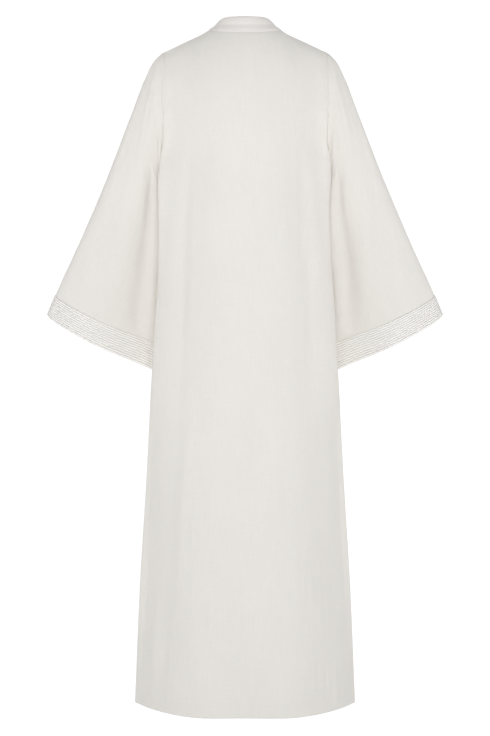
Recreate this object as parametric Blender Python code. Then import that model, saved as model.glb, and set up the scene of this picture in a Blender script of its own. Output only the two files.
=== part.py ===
"""A floor-length kaftan with wide sleeves, filled out as it is worn, with no wearer.

Frame: metres, +Z up. The front faces -Y, the wearer's left is +X. The origin is the middle of the neck,
level with the two points where the shoulder seams meet the neck, because the shoulders hold the garment.
Every cloth wall is lofted through sections that are worked out from the sizes and short tables below.
"""

import bmesh
import bpy
import numpy as np

# Overall sizes
HEM_Z = -1.430
UNDERARM_Z = -0.270
ARMHOLE_X = 0.176
ARMHOLE_DEPTH = 0.046
SHOULDER_TIP_Z = -0.045
NECK_HALF_WIDTH = 0.079

# Cloth and seams
CLOTH = 0.0018
BAND_CLOTH = 0.0026
SEAM_GAP = 0.0003

# Base of the neck, an oval that is level with the neckline at the back and lies above the V in front.
# It is flatter across its middle with a higher power, and rounder at its sides with a higher roundness.
BACK_NECK_DROP = 0.012
BACK_NECK_DEPTH = 0.055
FRONT_NECK_DROP = 0.075
FRONT_NECK_DEPTH = 0.058
NECK_POWER = 2.4
NECK_ROUNDNESS = 0.62
V_DROP = 0.330

# Neckband: its width, its upper edge at the back of the neck, and its raised welt along the seam.
# It leans over the shoulder at the neck point, and lies flat in the V from some way down.
NECKBAND_WIDTH = 0.0365
NECKBAND_TOP_HALF_WIDTH = 0.0535
NECKBAND_TOP_DEPTH = 0.047
NECKBAND_TOP_Z = 0.0235
NECKBAND_FLAT_AFTER = 0.110
NECKBAND_ROWS = (0.0, 0.19, 0.24, 0.62, 1.0)
WELT_ROWS = 2
WELT_RAISE = 0.0008

# Cuff: rows of narrow tucks round the sleeve's end
TUCKS = 11
TUCK_RAISE = 0.0012

# Columns and rows of points
BACK_NECK_COLUMNS = 7
FRONT_NECK_COLUMNS = 8
SHOULDER_COLUMNS = 6
SKIRT_ROWS = 14
FRONT_SPLIT_Z = -0.420
FRONT_SKIRT_ROWS = 12
YOKE_STEPS = 9
NEAR_ARMHOLE = (0.0, 0.03, 0.07)
SLEEVE_RINGS = 10
RING_POINTS = 4 * YOKE_STEPS
FRONT_NECK_SPACING = 1.6
SHARP_ANGLE = 40

# Body sections, hem first. A section's side seam is half_width from the middle, and its front and back
# stand back_depth and front_depth from the plane of the side seams. A higher power is a flatter section.
# Above the underarm, the armhole's edge draws the cloth near it outwards, most of all close to the edge, and
# the panels round over to the shoulder seams.
BODY_COLUMNS = ("z", "half_width", "back_depth", "front_depth", "power")
BODY_SECTIONS = (
    (-1.430, 0.2355, 0.1500, 0.1420, 3.7),
    (-1.170, 0.2245, 0.1410, 0.1360, 3.4),
    (-0.950, 0.2110, 0.1330, 0.1310, 3.1),
    (-0.720, 0.1990, 0.1240, 0.1280, 3.0),
    (-0.560, 0.1880, 0.1170, 0.1270, 2.9),
    (-0.420, 0.1800, 0.1130, 0.1280, 2.8),
    (-0.270, 0.1760, 0.1090, 0.1250, 2.6),
    (-0.160, 0.1760, 0.1040, 0.1080, 2.4),
    (-0.070, 0.1760, 0.0930, 0.0800, 2.4),
    (0.000, 0.1760, 0.0800, 0.0620, 2.4),
)

ARMHOLE_DRAW = 6
ARMHOLE_DRAW_AT_UNDERARM = 24
SHOULDER_ROUNDING = 4

# Long soft folds that hang down each panel, one on each side of its middle. at is the fold's place across
# the panel, as a share of the half width, and the depth is negative where the cloth sinks in. A fold is at
# its full depth FOLD_FADE below its top.
FOLD_COLUMNS = ("at_top", "at_hem", "width", "depth", "top_z")
FOLD_FADE = 0.220
BODY_FOLDS = (
    (0.64, 0.70, 0.16, -0.0075, -0.150),
    (0.87, 0.90, 0.09, 0.0040, -0.240),
    (0.25, 0.30, 0.17, 0.0025, -0.420),
)

# Sleeve sections from the armhole to the cuff's edge. outer is the line down the top of the arm, inner the
# underarm line, half_depth half the thickness of the section from front to back, and drop how far the
# section's back hangs below its middle, as a share of half_depth. The taper makes a section thicker round
# the arm than along the underarm line. The sections turn from the armhole's shape to ovals by ROUND_FROM.
SLEEVE_COLUMNS = (
    "way", "outer_x", "outer_y", "outer_z", "inner_x", "inner_y", "inner_z", "half_depth", "drop",
)
SLEEVE_SECTIONS = (
    (0.00, 0.1763, 0.000, -0.0450, 0.1763, 0.000, -0.2700, 0.046, 0.00),
    (0.05, 0.1940, -0.001, -0.0630, 0.1772, -0.010, -0.2900, 0.048, 0.01),
    (0.12, 0.2110, -0.004, -0.0950, 0.1763, -0.023, -0.3150, 0.050, 0.02),
    (0.25, 0.2400, -0.010, -0.1680, 0.1725, -0.040, -0.3700, 0.052, 0.06),
    (0.45, 0.2905, -0.022, -0.2950, 0.1740, -0.056, -0.4650, 0.053, 0.13),
    (0.70, 0.3560, -0.036, -0.4440, 0.1790, -0.068, -0.5800, 0.052, 0.21),
    (0.91, 0.4100, -0.047, -0.5590, 0.1835, -0.076, -0.6640, 0.052, 0.26),
    (1.00, 0.4280, -0.050, -0.6010, 0.1845, -0.079, -0.7230, 0.052, 0.27),
)
CUFF_FROM = 0.91
SLEEVE_TAPER = 0.22
ROUND_FROM = 0.12

# Long soft folds down each sleeve. angle is the place round the section, in degrees from the outer line
# towards the back of the sleeve.
SLEEVE_FOLD_COLUMNS = ("angle_top", "angle_cuff", "width", "depth", "starts", "full")
SLEEVE_FOLDS = (
    (128.0, 122.0, 24.0, -0.0080, 0.22, 0.62),
    (158.0, 152.0, 16.0, 0.0035, 0.16, 0.50),
    (62.0, 52.0, 26.0, -0.0040, 0.25, 0.80),
    (-118.0, -108.0, 26.0, -0.0070, 0.25, 0.70),
    (-58.0, -62.0, 24.0, -0.0045, 0.30, 0.80),
)


def through(table, at):
    """Every column of a table at one value of its first column, on a smooth curve through its rows."""
    rows = np.array(table, float)
    keys = rows[:, 0]
    slopes = np.gradient(rows, keys, axis=0)
    i = int(np.clip(np.searchsorted(keys, at) - 1, 0, len(keys) - 2))
    span = keys[i + 1] - keys[i]
    f = (at - keys[i]) / span
    start = (1 + 2 * f) * (1 - f) ** 2 * rows[i] + f * (1 - f) ** 2 * span * slopes[i]
    end = f * f * (3 - 2 * f) * rows[i + 1] + f * f * (f - 1) * span * slopes[i + 1]
    return start + end


def rise(low, high, value):
    """0 below low, 1 above high, and smooth between."""
    f = np.clip((value - low) / (high - low), 0.0, 1.0)
    return f * f * (3 - 2 * f)


def shoulder_z(x):
    """Height of the shoulder seam at a distance x from the middle."""
    return SHOULDER_TIP_Z * (x - NECK_HALF_WIDTH) / (ARMHOLE_X - NECK_HALF_WIDTH)


def top_line(x, is_back):
    """(height, depth) of the line where a panel would end: the shoulder seam, and round the neck its base."""
    if x >= NECK_HALF_WIDTH:
        return shoulder_z(x), 0.0
    drop, depth = (BACK_NECK_DROP, BACK_NECK_DEPTH) if is_back else (FRONT_NECK_DROP, FRONT_NECK_DEPTH)
    inside = 1 - (x / NECK_HALF_WIDTH) ** NECK_POWER
    return -drop * inside, depth * inside**NECK_ROUNDNESS


def opened(climb):
    """How far the armhole has opened at a height from the underarm (0) to the shoulder (1)."""
    return np.sqrt(1 - (1 - climb) ** 3)


def armhole_share(climb):
    """Half width of the armhole at such a height, as a share of its full depth."""
    climb = np.clip(climb, 0.0, 1.0)
    return opened(climb) * np.sqrt(1 - climb**SHOULDER_ROUNDING)


def body_fold(u, z):
    """How far the long folds move the cloth outwards at a place on a panel."""
    moved = 0.0
    down = np.clip((UNDERARM_Z - z) / (UNDERARM_Z - HEM_Z), 0.0, 1.0)
    for row in BODY_FOLDS:
        fold = dict(zip(FOLD_COLUMNS, row))
        at = fold["at_top"] + (fold["at_hem"] - fold["at_top"]) * down
        grown = rise(-fold["top_z"], -fold["top_z"] + FOLD_FADE, -z)
        moved += fold["depth"] * grown * np.exp(-(((abs(u) - at) / fold["width"]) ** 2))
    return moved * (1 - abs(u) ** 8)


def body_point(u, z, is_back):
    """Point on the outside of the front or back, u from -1 at one side to 1 at the other, at height z."""
    section = dict(zip(BODY_COLUMNS, through(BODY_SECTIONS, z)))
    x = u * section["half_width"]
    full = section["back_depth" if is_back else "front_depth"]
    depth = full * (1 - abs(u) ** section["power"]) + body_fold(u, z)
    if z > UNDERARM_Z:
        top_z, top_depth = top_line(abs(x), is_back)
        climb = min(1.0, (z - UNDERARM_Z) / (top_z - UNDERARM_Z))
        draw = ARMHOLE_DRAW + ARMHOLE_DRAW_AT_UNDERARM * (1 - climb) ** 6
        depth += ARMHOLE_DEPTH * opened(climb) * abs(u) ** draw
        near_neck = max(0.0, 1 - (x / NECK_HALF_WIDTH) ** 2)
        rounding = (1 - climb**SHOULDER_ROUNDING) ** (0.5 + 0.25 * near_neck)
        depth = top_depth + (depth - top_depth) * rounding
    depth = max(depth, 0.0) + SEAM_GAP / 2
    return np.array((x, depth if is_back else -depth, z))


def neck_shares(count, power):
    """Columns from the middle to the neck point, closer together near the neck point as power grows."""
    k = np.arange(count + 1) / count
    return (1 - (1 - k) ** power) * NECK_HALF_WIDTH / ARMHOLE_X


def both_sides(half):
    """Columns of one half, mirrored to the other."""
    return np.concatenate([-half[:0:-1], half])


def panel_columns(neck):
    """Columns of a panel from side to side, with its neck columns in the middle."""
    outside = np.linspace(neck[-1], 1.0, SHOULDER_COLUMNS + 1)[1:]
    return both_sides(np.concatenate([neck, outside]))


def yoke_climbs():
    """Rows from the underarm (0) to the shoulder (1), spaced as the sleeve's points are round the armhole."""
    return (1 - np.cos(np.pi * np.arange(YOKE_STEPS + 1) / YOKE_STEPS)) / 2


def back_grid():
    """Rows of points from the hem to the shoulder seams and the back neckline."""
    columns = panel_columns(neck_shares(BACK_NECK_COLUMNS, 1.0))
    rows = []
    for z in np.linspace(HEM_Z, UNDERARM_Z, SKIRT_ROWS + 1)[:-1]:
        rows.append([body_point(u, z, True) for u in columns])
    for climb in yoke_climbs():
        tops = [top_line(abs(u) * ARMHOLE_X, True)[0] for u in columns]
        heights = [UNDERARM_Z + (top - UNDERARM_Z) * climb for top in tops]
        rows.append([body_point(u, z, True) for u, z in zip(columns, heights)])
    return np.array(rows)


def v_edge_z(x):
    """Height of the front's top edge: the V inside the neck points, and the shoulder seam outside them."""
    if x < NECK_HALF_WIDTH:
        return -V_DROP * (1 - x / NECK_HALF_WIDTH)
    return shoulder_z(x)


def front_grid():
    """Rows of points from the hem to the shoulder seams and the V. One row ends at the underarms."""
    columns = panel_columns(neck_shares(FRONT_NECK_COLUMNS, FRONT_NECK_SPACING))
    rows = []
    for z in np.linspace(HEM_Z, FRONT_SPLIT_Z, FRONT_SKIRT_ROWS + 1)[:-1]:
        rows.append([body_point(u, z, False) for u in columns])
    underarm_share = (UNDERARM_Z - FRONT_SPLIT_Z) / (SHOULDER_TIP_Z - FRONT_SPLIT_Z)
    below = np.array((0.0, 0.5)) * underarm_share
    above = underarm_share + (1 - underarm_share) * yoke_climbs()
    for share in np.concatenate([below, above]):
        tops = [v_edge_z(abs(u) * ARMHOLE_X) for u in columns]
        heights = [FRONT_SPLIT_Z + (top - FRONT_SPLIT_Z) * share for top in tops]
        rows.append([body_point(u, z, False) for u, z in zip(columns, heights)])
    return np.array(rows)


def sleeve_point(way, angle):
    """Point on the outside of the wearer's left sleeve. angle 0 is its outer line, 180 the underarm line."""
    s = dict(zip(SLEEVE_COLUMNS, through(SLEEVE_SECTIONS, way)))
    outer = np.array((s["outer_x"], s["outer_y"], s["outer_z"]))
    inner = np.array((s["inner_x"], s["inner_y"], s["inner_z"]))
    a = np.radians(angle)
    across = (1 + np.cos(a)) / 2
    depth = s["half_depth"] * np.sin(a) * (1 + SLEEVE_TAPER * np.cos(a))
    blend = rise(0.0, ROUND_FROM, way)
    depth = (1 - blend) * np.sign(np.sin(a)) * ARMHOLE_DEPTH * armhole_share(across) + blend * depth
    for row in SLEEVE_FOLDS:
        fold = dict(zip(SLEEVE_FOLD_COLUMNS, row))
        at = fold["angle_top"] + (fold["angle_cuff"] - fold["angle_top"]) * way
        apart = (angle - at + 180) % 360 - 180
        grown = rise(fold["starts"], fold["full"], way)
        side = np.sign(np.sin(np.radians(at)))
        depth += side * fold["depth"] * grown * np.exp(-((apart / fold["width"]) ** 2))
    point = inner + (outer - inner) * across
    return point + np.array((0.0, depth, -s["drop"] * depth))


def sleeve_grid(ways):
    """Rings of points round the wearer's left sleeve, one for each share of its length."""
    angles = np.arange(RING_POINTS) * 360.0 / RING_POINTS
    return np.array([[sleeve_point(way, angle) for angle in angles] for way in ways])


def cuff_direction():
    """Unit vector down the sleeve, from the cuff's seam to its edge."""
    seam, edge = sleeve_grid((CUFF_FROM, 1.0)).mean(axis=1)
    return (edge - seam) / np.linalg.norm(edge - seam)


def normals(grid, closed):
    """Unit normals of a grid of points, from its neighbours. A closed grid goes round in its rows."""
    if closed:
        along = np.roll(grid, -1, axis=1) - np.roll(grid, 1, axis=1)
    else:
        along = np.gradient(grid, axis=1)
    up = np.gradient(grid, axis=0)
    n = np.cross(along, up)
    return n / np.linalg.norm(n, axis=2, keepdims=True)


def outwards(grid, closed):
    """Normals that point away from the middle of the grid's rows."""
    n = normals(grid, closed)
    middle = grid.reshape(-1, 3).mean(axis=0)
    if closed:
        middle = grid.mean(axis=1, keepdims=True)
    else:
        middle[1] = 0.0
    return n if ((grid - middle) * n).sum() > 0 else -n


def panel_normals(grid):
    """Normals of the front or back, evened out along each row so that the wall doesn't twist at the neck."""
    n = outwards(grid, False)
    for _ in range(4):
        n[:, 1:-1] = (n[:, :-2] + 2 * n[:, 1:-1] + n[:, 2:]) / 4
    return n / np.linalg.norm(n, axis=2, keepdims=True)


def new_object(name, mesh_data, material, collection):
    mesh = bpy.data.meshes.new(name)
    mesh_data.to_mesh(mesh)
    mesh_data.free()
    mesh.materials.append(material)
    mesh.shade_smooth()
    mesh.set_sharp_from_angle(angle=np.radians(SHARP_ANGLE))
    obj = bpy.data.objects.new(name, mesh)
    collection.objects.link(obj)
    return obj


def wall(name, outer, inner, closed, material, collection):
    """One closed cloth wall between an outer and an inner grid that have the same columns."""
    bm = bmesh.new()
    outside = [[bm.verts.new(p) for p in row] for row in outer]
    inside = [[bm.verts.new(p) for p in row] for row in inner]
    columns = len(outer[0])
    steps = columns if closed else columns - 1
    for sheet in (outside, inside):
        for low, high in zip(sheet, sheet[1:]):
            for j in range(steps):
                k = (j + 1) % columns
                bm.faces.new((low[j], low[k], high[k], high[j]))
    for end in (0, -1):
        for j in range(steps):
            k = (j + 1) % columns
            bm.faces.new((outside[end][j], outside[end][k], inside[end][k], inside[end][j]))
    if not closed:
        for end in (0, -1):
            for i in range(len(outer) - 1):
                bm.faces.new((outside[i][end], outside[i + 1][end], inside[i + 1][end], inside[i][end]))
    bmesh.ops.recalc_face_normals(bm, faces=bm.faces)
    return new_object(name, bm, material, collection)


def panel(name, grid, is_back, material, collection):
    """Front or back. Its inner points stop at the planes of the side, shoulder and armhole seams."""
    inner = grid - panel_normals(grid) * CLOTH
    side = 1 if is_back else -1
    inner[:, :, 1] = side * np.maximum(side * inner[:, :, 1], SEAM_GAP / 2)
    above = grid[:, :, 2] >= UNDERARM_Z - 1e-6
    inner[:, :, 0] = np.where(above, np.clip(inner[:, :, 0], -ARMHOLE_X, ARMHOLE_X), inner[:, :, 0])
    wall(name, grid, inner, False, material, collection)


def mirrored(grid, is_left):
    return grid if is_left else grid * np.array((-1.0, 1.0, 1.0))


def sleeve(name, is_left, material, collection):
    """Tube from the armhole to the cuff's seam, with its two ends in the planes of those seams."""
    ways = np.concatenate([NEAR_ARMHOLE, np.linspace(ROUND_FROM, CUFF_FROM, SLEEVE_RINGS)])
    grid = sleeve_grid(ways)
    down = cuff_direction()
    grid[-1] -= down * SEAM_GAP
    inner = grid - outwards(grid, True) * CLOTH
    inner[:, :, 0] = np.maximum(inner[:, :, 0], SLEEVE_SECTIONS[0][1])
    inner[-1] += down * ((grid[-1] - inner[-1]) @ down)[:, None]
    wall(name, mirrored(grid, is_left), mirrored(inner, is_left), True, material, collection)


def cuff(name, is_left, material, collection):
    """Band of tucks: ridges in the wall's outer points, over a plain inside."""
    grid = sleeve_grid(np.linspace(CUFF_FROM, 1.0, 2 * TUCKS + 1))
    down = cuff_direction()
    out = outwards(grid, True)
    out -= (out @ down)[:, :, None] * down
    out /= np.linalg.norm(out, axis=2, keepdims=True)
    raised = np.where(np.arange(2 * TUCKS + 1) % 2, TUCK_RAISE, 0.0)
    outer = grid + out * raised[:, None, None]
    inner = (grid - out * CLOTH)[[0, -1]]
    wall(name, mirrored(outer, is_left), mirrored(inner, is_left), True, material, collection)


def neck_edge(front, back):
    """A row of values along the neck edge, from the foot of the V round the wearer's left to the middle back.

    front and back hold a value for each point of the two panels' top rows, and meet at the neck point.
    """
    v_edge = front[len(front) // 2 :][: FRONT_NECK_COLUMNS + 1]
    nape = back[len(back) // 2 :][: BACK_NECK_COLUMNS + 1][::-1]
    return np.array([*v_edge[:-1], (v_edge[-1] + nape[0]) / 2, *nape[1:]])


def lengths_along(line):
    """Distance from a line's first point to each of its points."""
    steps = np.linalg.norm(np.diff(line, axis=0), axis=1)
    return np.concatenate([[0.0], np.cumsum(steps)])


def band_edge(line, wall_normals):
    """Upper edge of the neckband over each point of the neckline: an oval round the back of the neck.

    In the V it carries on the surface of the front.
    """
    neck_point = FRONT_NECK_COLUMNS
    way = lengths_along(line) - lengths_along(line)[neck_point]
    edge = []
    for i, point in enumerate(line):
        turn = np.radians(90) * max(0.0, way[i] / way[-1])
        x, y = NECKBAND_TOP_HALF_WIDTH * np.cos(turn), NECKBAND_TOP_DEPTH * np.sin(turn)
        direction = np.array((x, y, NECKBAND_TOP_Z)) - line[max(i, neck_point)]
        direction /= np.linalg.norm(direction)
        if i < neck_point:
            tangent = line[i + 1] - line[max(i - 1, 0)]
            flat = np.cross(wall_normals[i], tangent)
            flat *= -np.sign(flat[0]) / np.linalg.norm(flat)
            direction = direction + (flat - direction) * rise(0.0, NECKBAND_FLAT_AFTER, -way[i])
            direction /= np.linalg.norm(direction)
        edge.append(point + direction * NECKBAND_WIDTH)
    return np.array(edge)


def cut_at_middle(line):
    """Respaces the V part of a line so that it starts on the plane between left and right."""
    count = FRONT_NECK_COLUMNS
    k = int(np.argmax(line[:, 0] > 0))
    start = k - line[k, 0] / (line[k, 0] - line[k - 1, 0])
    at = start + (count - start) * np.arange(count + 1) / count
    low = np.minimum(at.astype(int), count - 1)
    part = (at - low)[:, None]
    return np.concatenate([line[low] * (1 - part) + line[low + 1] * part, line[count + 1 :]])


def all_round(half):
    """Rows from the middle front to the middle back, carried on round the wearer's other side."""
    return np.concatenate([half, half[:, -2:0:-1] * np.array((-1.0, 1.0, 1.0))], axis=1)


def neckband(name, material, collection):
    """Band sewn round the neckline, mitred down the middle of the V."""
    front, back = front_grid(), back_grid()
    line = neck_edge(front[-1], back[-1])
    wall_normals = neck_edge(panel_normals(front)[-1], panel_normals(back)[-1])
    edge = band_edge(line, wall_normals)
    line += (edge - line) * SEAM_GAP / NECKBAND_WIDTH
    half = np.array([cut_at_middle(line + (edge - line) * share) for share in NECKBAND_ROWS])
    half[:, 0, 0] = 0.0
    half[:, -1, 0] = 0.0
    grid = all_round(half)
    out = outwards(grid, True)
    out[0] = all_round(wall_normals[None])[0]
    outer = grid.copy()
    outer[:WELT_ROWS] += out[:WELT_ROWS] * WELT_RAISE
    wall(name, outer, grid - out * BAND_CLOTH, True, material, collection)


def make_material(name, colour, roughness):
    material = bpy.data.materials.new(name)
    material.use_nodes = True
    shader = material.node_tree.nodes["Principled BSDF"]
    shader.inputs["Base Color"].default_value = (*colour, 1.0)
    shader.inputs["Roughness"].default_value = roughness
    shader.inputs["Metallic"].default_value = 0.0
    return material


def main():
    for obj in list(bpy.data.objects):
        bpy.data.objects.remove(obj)
    kaftan = bpy.data.collections.new("kaftan")
    bpy.context.scene.collection.children.link(kaftan)
    cloth = make_material("cloth", (0.82, 0.79, 0.74), 0.75)
    tucked = make_material("tucked_band", (0.84, 0.81, 0.77), 0.65)
    band = make_material("neckband_cloth", (0.78, 0.74, 0.70), 0.70)
    panel("back_panel", back_grid(), True, cloth, kaftan)
    panel("front_panel", front_grid(), False, cloth, kaftan)
    for side, is_left in (("left", True), ("right", False)):
        sleeve("sleeve_" + side, is_left, cloth, kaftan)
        cuff("cuff_" + side, is_left, tucked, kaftan)
    neckband("neckband", band, kaftan)


main()
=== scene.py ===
"""The finished look of a floor-length kaftan with wide sleeves, filled out as it is worn, seen from behind.

Frame: metres, +Z up. The front faces -Y, the wearer's left is +X. Each cloth piece is a thin wall on the form
of the part's own solid, from the same sections, with creases, crinkled weave, seams and stitches added.
"""

import bpy
import numpy as np
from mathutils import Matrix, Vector


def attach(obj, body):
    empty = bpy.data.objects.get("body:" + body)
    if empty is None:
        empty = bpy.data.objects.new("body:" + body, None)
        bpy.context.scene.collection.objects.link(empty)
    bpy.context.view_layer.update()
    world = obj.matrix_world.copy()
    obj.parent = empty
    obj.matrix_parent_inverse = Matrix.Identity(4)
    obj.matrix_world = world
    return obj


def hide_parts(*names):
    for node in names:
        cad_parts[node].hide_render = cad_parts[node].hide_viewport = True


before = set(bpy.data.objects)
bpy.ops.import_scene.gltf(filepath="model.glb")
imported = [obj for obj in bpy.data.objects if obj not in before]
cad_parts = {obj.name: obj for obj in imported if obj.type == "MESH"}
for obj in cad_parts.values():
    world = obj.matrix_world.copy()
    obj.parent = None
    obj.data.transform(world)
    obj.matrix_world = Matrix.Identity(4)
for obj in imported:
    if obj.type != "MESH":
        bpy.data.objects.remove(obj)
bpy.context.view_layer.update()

# Overall sizes of the part
HEM_Z = -1.430
UNDERARM_Z = -0.270
ARMHOLE_X = 0.176
ARMHOLE_DEPTH = 0.046
SHOULDER_TIP_Z = -0.045
NECK_HALF_WIDTH = 0.079

# Base of the neck, the V, and the band round them
BACK_NECK_DROP = 0.012
BACK_NECK_DEPTH = 0.055
FRONT_NECK_DROP = 0.075
FRONT_NECK_DEPTH = 0.058
NECK_POWER = 2.4
NECK_ROUNDNESS = 0.62
V_DROP = 0.330
NECKBAND_WIDTH = 0.0365
NECKBAND_TOP_HALF_WIDTH = 0.0535
NECKBAND_TOP_DEPTH = 0.047
NECKBAND_TOP_Z = 0.0235
NECKBAND_FLAT_AFTER = 0.110

# Body sections, hem first: height, half width, depth of the back and of the front, and power. Then how the
# cloth rounds over to the armholes and shoulders.
BODY_SECTIONS = (
    (-1.430, 0.2355, 0.1500, 0.1420, 3.7),
    (-1.170, 0.2245, 0.1410, 0.1360, 3.4),
    (-0.950, 0.2110, 0.1330, 0.1310, 3.1),
    (-0.720, 0.1990, 0.1240, 0.1280, 3.0),
    (-0.560, 0.1880, 0.1170, 0.1270, 2.9),
    (-0.420, 0.1800, 0.1130, 0.1280, 2.8),
    (-0.270, 0.1760, 0.1090, 0.1250, 2.6),
    (-0.160, 0.1760, 0.1040, 0.1080, 2.4),
    (-0.070, 0.1760, 0.0930, 0.0800, 2.4),
    (0.000, 0.1760, 0.0800, 0.0620, 2.4),
)
ARMHOLE_DRAW = 6
ARMHOLE_DRAW_AT_UNDERARM = 14
ARMHOLE_DRAW_FADE = 6
ARMHOLE_POINT = 0.070
SHOULDER_ROUNDING = 4
TOP_POWER = 0.5
TOP_POWER_ADDED_AT_NECK = 0.25

# The front's rows are level up to this height, and run up to the V and the shoulders above it
FRONT_SPLIT_Z = -0.420

# Long folds of the panels: place across at the top and at the hem, and width, as shares of the half width,
# then depth and the height where the fold begins
FOLD_FADE = 0.220
FOLD_SIDE_POWER = 8
BODY_FOLDS = (
    (0.64, 0.70, 0.16, -0.0075, -0.150),
    (0.87, 0.90, 0.09, 0.0040, -0.240),
    (0.25, 0.30, 0.17, 0.0025, -0.420),
)

# Sleeve sections from the armhole to the cuff's edge: share of the length, x, y and z of the outer line and
# of the inner line, half depth, and drop
SLEEVE_SECTIONS = (
    (0.00, 0.1763, 0.000, -0.0450, 0.1763, 0.000, -0.2700, 0.046, 0.00),
    (0.05, 0.1940, -0.001, -0.0630, 0.1772, -0.010, -0.2900, 0.048, 0.01),
    (0.12, 0.2110, -0.004, -0.0950, 0.1763, -0.023, -0.3150, 0.050, 0.02),
    (0.25, 0.2400, -0.010, -0.1680, 0.1725, -0.040, -0.3700, 0.052, 0.06),
    (0.45, 0.2905, -0.022, -0.2950, 0.1740, -0.056, -0.4650, 0.053, 0.13),
    (0.70, 0.3560, -0.036, -0.4440, 0.1790, -0.068, -0.5800, 0.052, 0.21),
    (0.91, 0.4100, -0.047, -0.5590, 0.1835, -0.076, -0.6640, 0.052, 0.26),
    (1.00, 0.4280, -0.050, -0.6010, 0.1845, -0.079, -0.7230, 0.052, 0.27),
)
SLEEVE_LENGTH = 0.61
CUFF_FROM = 0.91
SLEEVE_TAPER = 0.22
ROUND_FROM = 0.12

# Long folds of a sleeve: angle at the armhole and at the cuff, width in degrees, depth, and the shares of the
# length where the fold starts and is full
SLEEVE_FOLDS = (
    (128.0, 122.0, 24.0, -0.0080, 0.22, 0.62),
    (158.0, 152.0, 16.0, 0.0035, 0.16, 0.50),
    (62.0, 52.0, 26.0, -0.0040, 0.25, 0.80),
    (-118.0, -108.0, 26.0, -0.0070, 0.25, 0.70),
    (-58.0, -62.0, 24.0, -0.0045, 0.30, 0.80),
)

# Cloth, and how its edges roll in at a seam
CLOTH = 0.0011
HEM_CLOTH = 0.0020
HEM_DEEP = 0.025
BAND_CLOTH = 0.0026
BAND_LAP = 0.0014
CUFF_CLOTH = 0.0018
SLEEVE_LAP = 0.0010
SEAM_SINK = 0.0008
SEAM_ROLL = 0.0018
EDGE_STEPS = (0.0006, 0.0014, 0.0028)

# Where crinkle, creases and rolled seams fade out: none up to the first distance from an edge, and all of it
# past the second. Distances are in metres, but in half widths for CREASES_BY_SIDE and in degrees round the
# sleeve for SLEEVE_ROLL_BY_UNDERARM. ROLL_UP_ARMHOLE gives heights.
CRINKLE_BY_SEAM = (0.002, 0.012)
CRINKLE_BY_TOP = (0.002, 0.014)
CRINKLE_BY_HEM = (0.0, 0.010)
CREASES_BY_SIDE = (0.0, 0.04)
CREASES_BY_TOP = (0.0, 0.02)
CREASES_BY_ARMHOLE = (0.0, 0.045)
CREASES_BY_CUFF = (0.0, 0.012)
ROLL_BY_NECK = (NECK_HALF_WIDTH, NECK_HALF_WIDTH + 0.008)
ROLL_BY_UNDERARM = (0.0, 0.05)
ROLL_GAP_Z = UNDERARM_Z + 0.015
ROLL_UP_ARMHOLE = (-0.20, -0.06)
SLEEVE_ROLL_BY_UNDERARM = (30, 75)
UNDER_SEAM_BY_ARMHOLE = (0.0, 0.03)
ARMHOLE_ROLL = 1.2
HEM_ROLL = 0.5
UNDER_SEAM_ROLL = 0.6

# Crinkle of the cloth itself: the cells of its four layers of noise, across and down, and their heights
CRINKLE_CELLS = ((0.010, 0.036), (0.024, 0.013), (0.045, 0.120), (0.052, 0.085))
UPRIGHT_HEIGHT = 0.00024
CROSSED_HEIGHT = 0.00018
BROAD_HEIGHT = 0.00050
PATCH_LEVEL = 0.60
PATCH_SPREAD = 0.55
NOISE_CELLS = 128

# Points of the cloth: across half a panel inside and outside the neck point, up the skirt, up the yoke and in
# the front from FRONT_SPLIT_Z to the underarms, and round and along a sleeve. The inside of a wall has one
# point for every INSIDE_STEP outside.
NECK_POINTS = 30
SHOULDER_POINTS = 45
PANEL_POINTS = (336, 100, 36)
RING_POINTS = 220
SLEEVE_POINTS = 200
INSIDE_STEP = 2
MIRROR = np.array((-1.0, 1.0, 1.0))
SIDE_CROWDING = 1.5
PANEL_HALF_WIDTH = 0.2

# Softening of the panels: passes, heights and distance from the edge at the yoke, and reach at the underarms
YOKE_PASSES = 60
YOKE_HEIGHTS = (-0.26, -0.12)
YOKE_BY_TOP = (0.0, 0.016)
LEDGE_REACH = 0.022

# Cuff: how the sleeve's back turns in by the body, the tucks, and (place, height) across one tuck
TURN_IN = 0.010
TURN_IN_FROM = 0.72
TURN_IN_ANGLE = 150
TURN_IN_WIDTH = 23
TUCKS = 11
CUFF_WIDTH = 0.052
MEAN_RING_STEP = 10.0
TUCK_RAISE = 0.0016
TUCK_UNEVEN = 0.10
TUCK_UNEVEN_ANGLE = 11.0
TUCK_PROFILE = (
    (0.00, 0.00), (0.06, 0.20), (0.14, 0.62), (0.24, 0.90), (0.38, 1.00),
    (0.54, 0.98), (0.68, 0.86), (0.80, 0.60), (0.90, 0.26), (0.96, 0.06),
)

# Neckband: (place, height) from its seam to its upper edge, and its points
BAND_PROFILE = (
    (0.00, 0.0002), (0.03, 0.0009), (0.08, 0.0014), (0.16, 0.0018), (0.24, 0.0015), (0.32, 0.0008),
    (0.41, 0.0001), (0.50, -0.0002), (0.58, 0.0001), (0.70, 0.0005), (0.82, 0.0006), (0.90, 0.0004),
    (0.96, 0.0001), (1.00, -0.0005),
)
BAND_EDGE_ROUNDING = 0.0006
BAND_SEWN = 0.0035
BAND_POINTS = 48
BAND_STEPS_BETWEEN = 10

# The coarse grid of the panels that the neckband is set out from
COARSE_FRONT_NECK = 8
COARSE_BACK_NECK = 7
COARSE_SPACING = 1.6
COARSE_SHOULDER = 6
COARSE_POINTS = (14, 9, 2)
COARSE_PASSES = 4

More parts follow.
